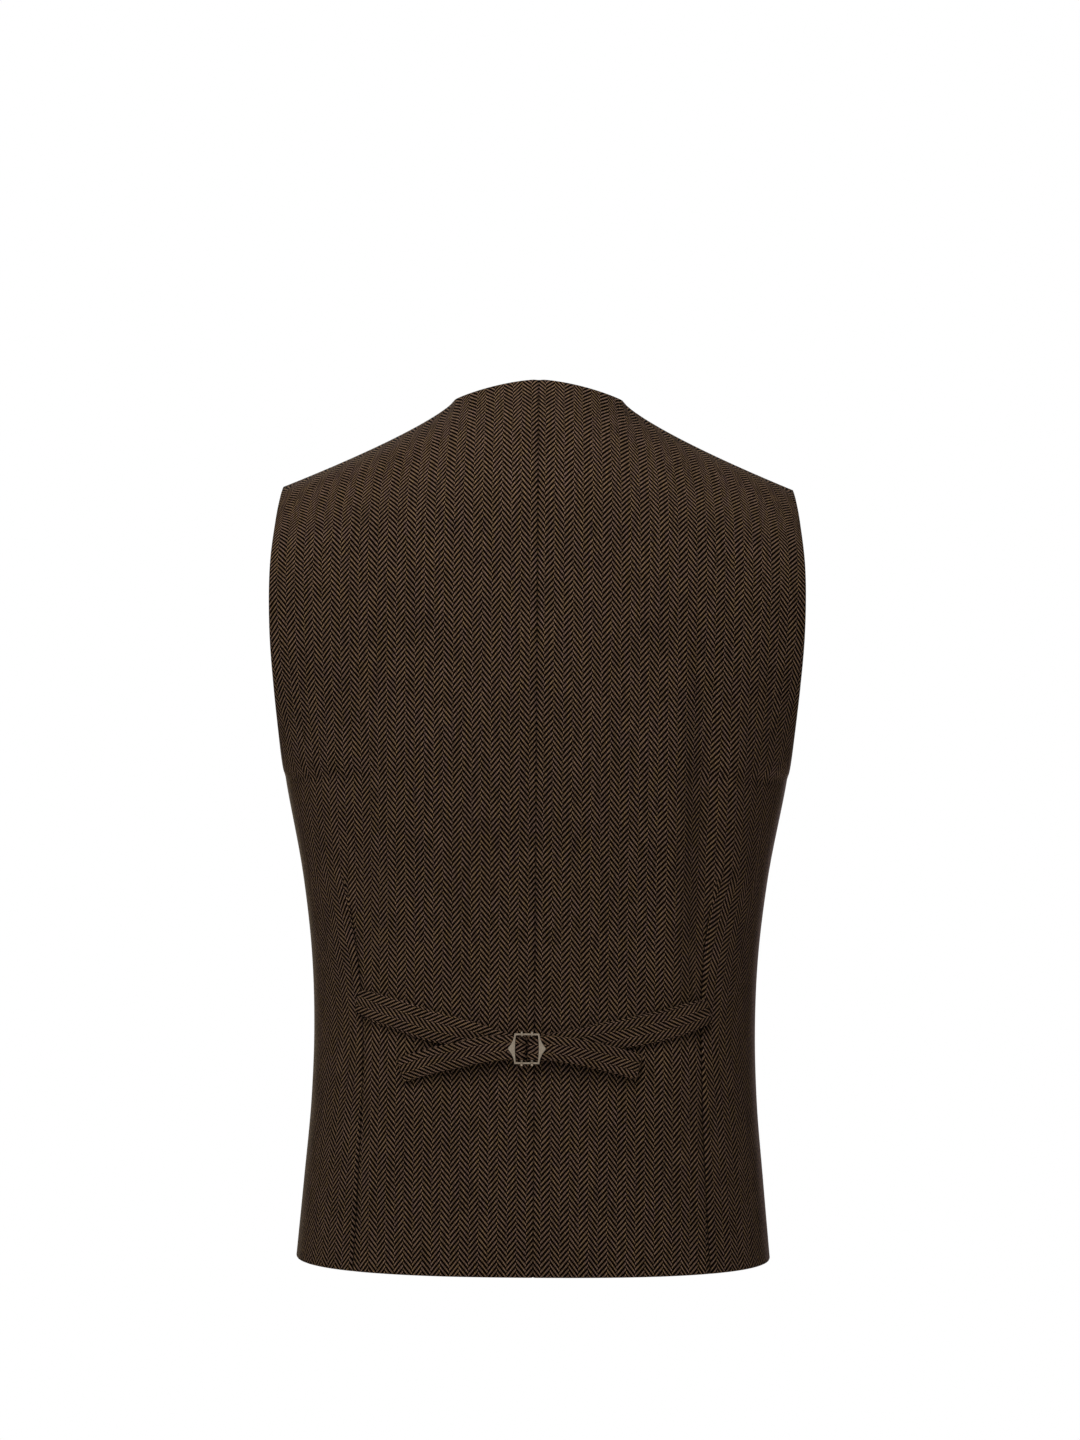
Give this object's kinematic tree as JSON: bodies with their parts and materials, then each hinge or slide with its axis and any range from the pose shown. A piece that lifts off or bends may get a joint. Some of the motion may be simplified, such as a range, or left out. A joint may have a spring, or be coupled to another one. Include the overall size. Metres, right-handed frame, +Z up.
{
  "type": "suit waistcoat",
  "caption": "Suit waistcoat in brown herringbone tweed, worn and hollow, with a whole tweed back, long back darts and a cinch belt closed by a slide buckle.",
  "frame": {"origin": "on the centre plane at the height of the side-neck points, where the wearer's shoulders hold the waistcoat up", "axes": "+Z up along the wearer, front faces -Y, the wearer's left is +X"},
  "size_m": [0.3744, 0.2444, 0.6582],
  "materials": {
    "tweed": "matt wool herringbone, light brown on dark brown",
    "buckle_metal": "satin, nickel plated",
    "button_horn": "dark horn, polished rim"
  },
  "bodies": {
    "root": {"back_left": "tweed", "back_right": "tweed", "front_left": "tweed", "front_right": "tweed", "strap_left": "tweed", "strap_right": "tweed", "buckle_frame": "buckle_metal", "buckle_bar_left": "buckle_metal", "buckle_bar_right": "buckle_metal", "button_1": "button_horn", "button_2": "button_horn", "button_3": "button_horn", "button_4": "button_horn", "button_5": "button_horn"}
  },
  "joints": []
}
